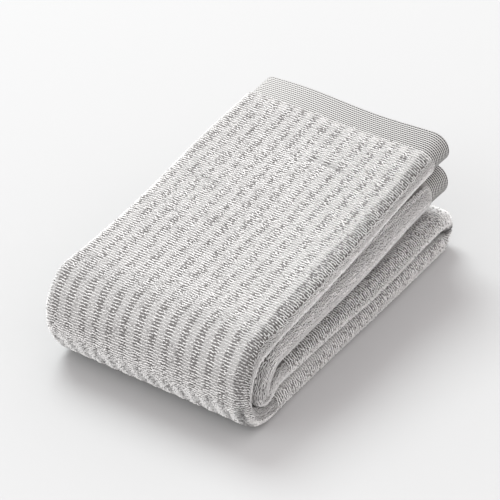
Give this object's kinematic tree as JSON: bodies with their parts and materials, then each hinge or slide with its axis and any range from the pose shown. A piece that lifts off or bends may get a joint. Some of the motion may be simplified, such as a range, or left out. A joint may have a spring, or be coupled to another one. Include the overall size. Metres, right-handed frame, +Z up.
{
  "type": "folded face towel",
  "caption": "Terry face towel with raised lengthwise ribs, its sides turned in and then folded in half twice, hems together at one end.",
  "frame": {"origin": "middle of the folded towel's footprint, on the surface it lies on", "axes": "+Z up, +X across the folded towel, +Y along it, towards the two hems"},
  "size_m": [0.1182, 0.202, 0.0755],
  "materials": {
    "terry": "matt looped cotton pile, white ribs with grey stripes between them"
  },
  "bodies": {
    "root": {"towel": "terry"}
  },
  "joints": []
}
